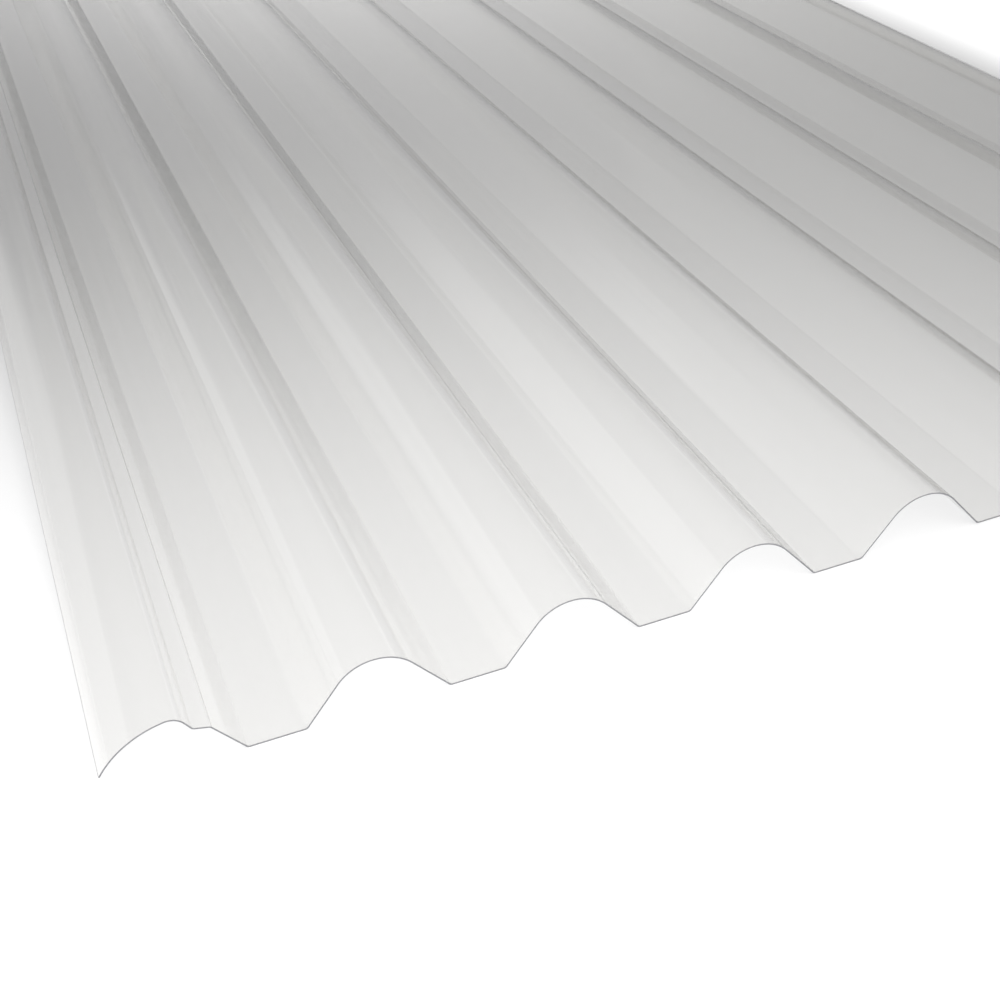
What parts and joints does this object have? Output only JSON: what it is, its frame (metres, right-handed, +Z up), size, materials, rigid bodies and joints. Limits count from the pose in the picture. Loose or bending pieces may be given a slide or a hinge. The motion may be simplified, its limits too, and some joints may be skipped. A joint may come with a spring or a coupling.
{
  "type": "corrugated polycarbonate roof sheet",
  "caption": "Clear corrugated plastic roofing sheet with broad round-topped waves, flat valleys and a stepped lap wave along one edge.",
  "frame": {"origin": "middle of the sheet's underside, on the floor it lies on", "axes": "+Y along the waves, +X across them from the lap wave towards the last wave, +Z up out of the weather side"},
  "size_m": [1.09, 2, 0.0375],
  "materials": {
    "clear_polycarbonate": "clear, glossy, faintly streaked along the waves by the extruder"
  },
  "bodies": {
    "root": {"roof_sheet": "clear_polycarbonate"}
  },
  "joints": []
}
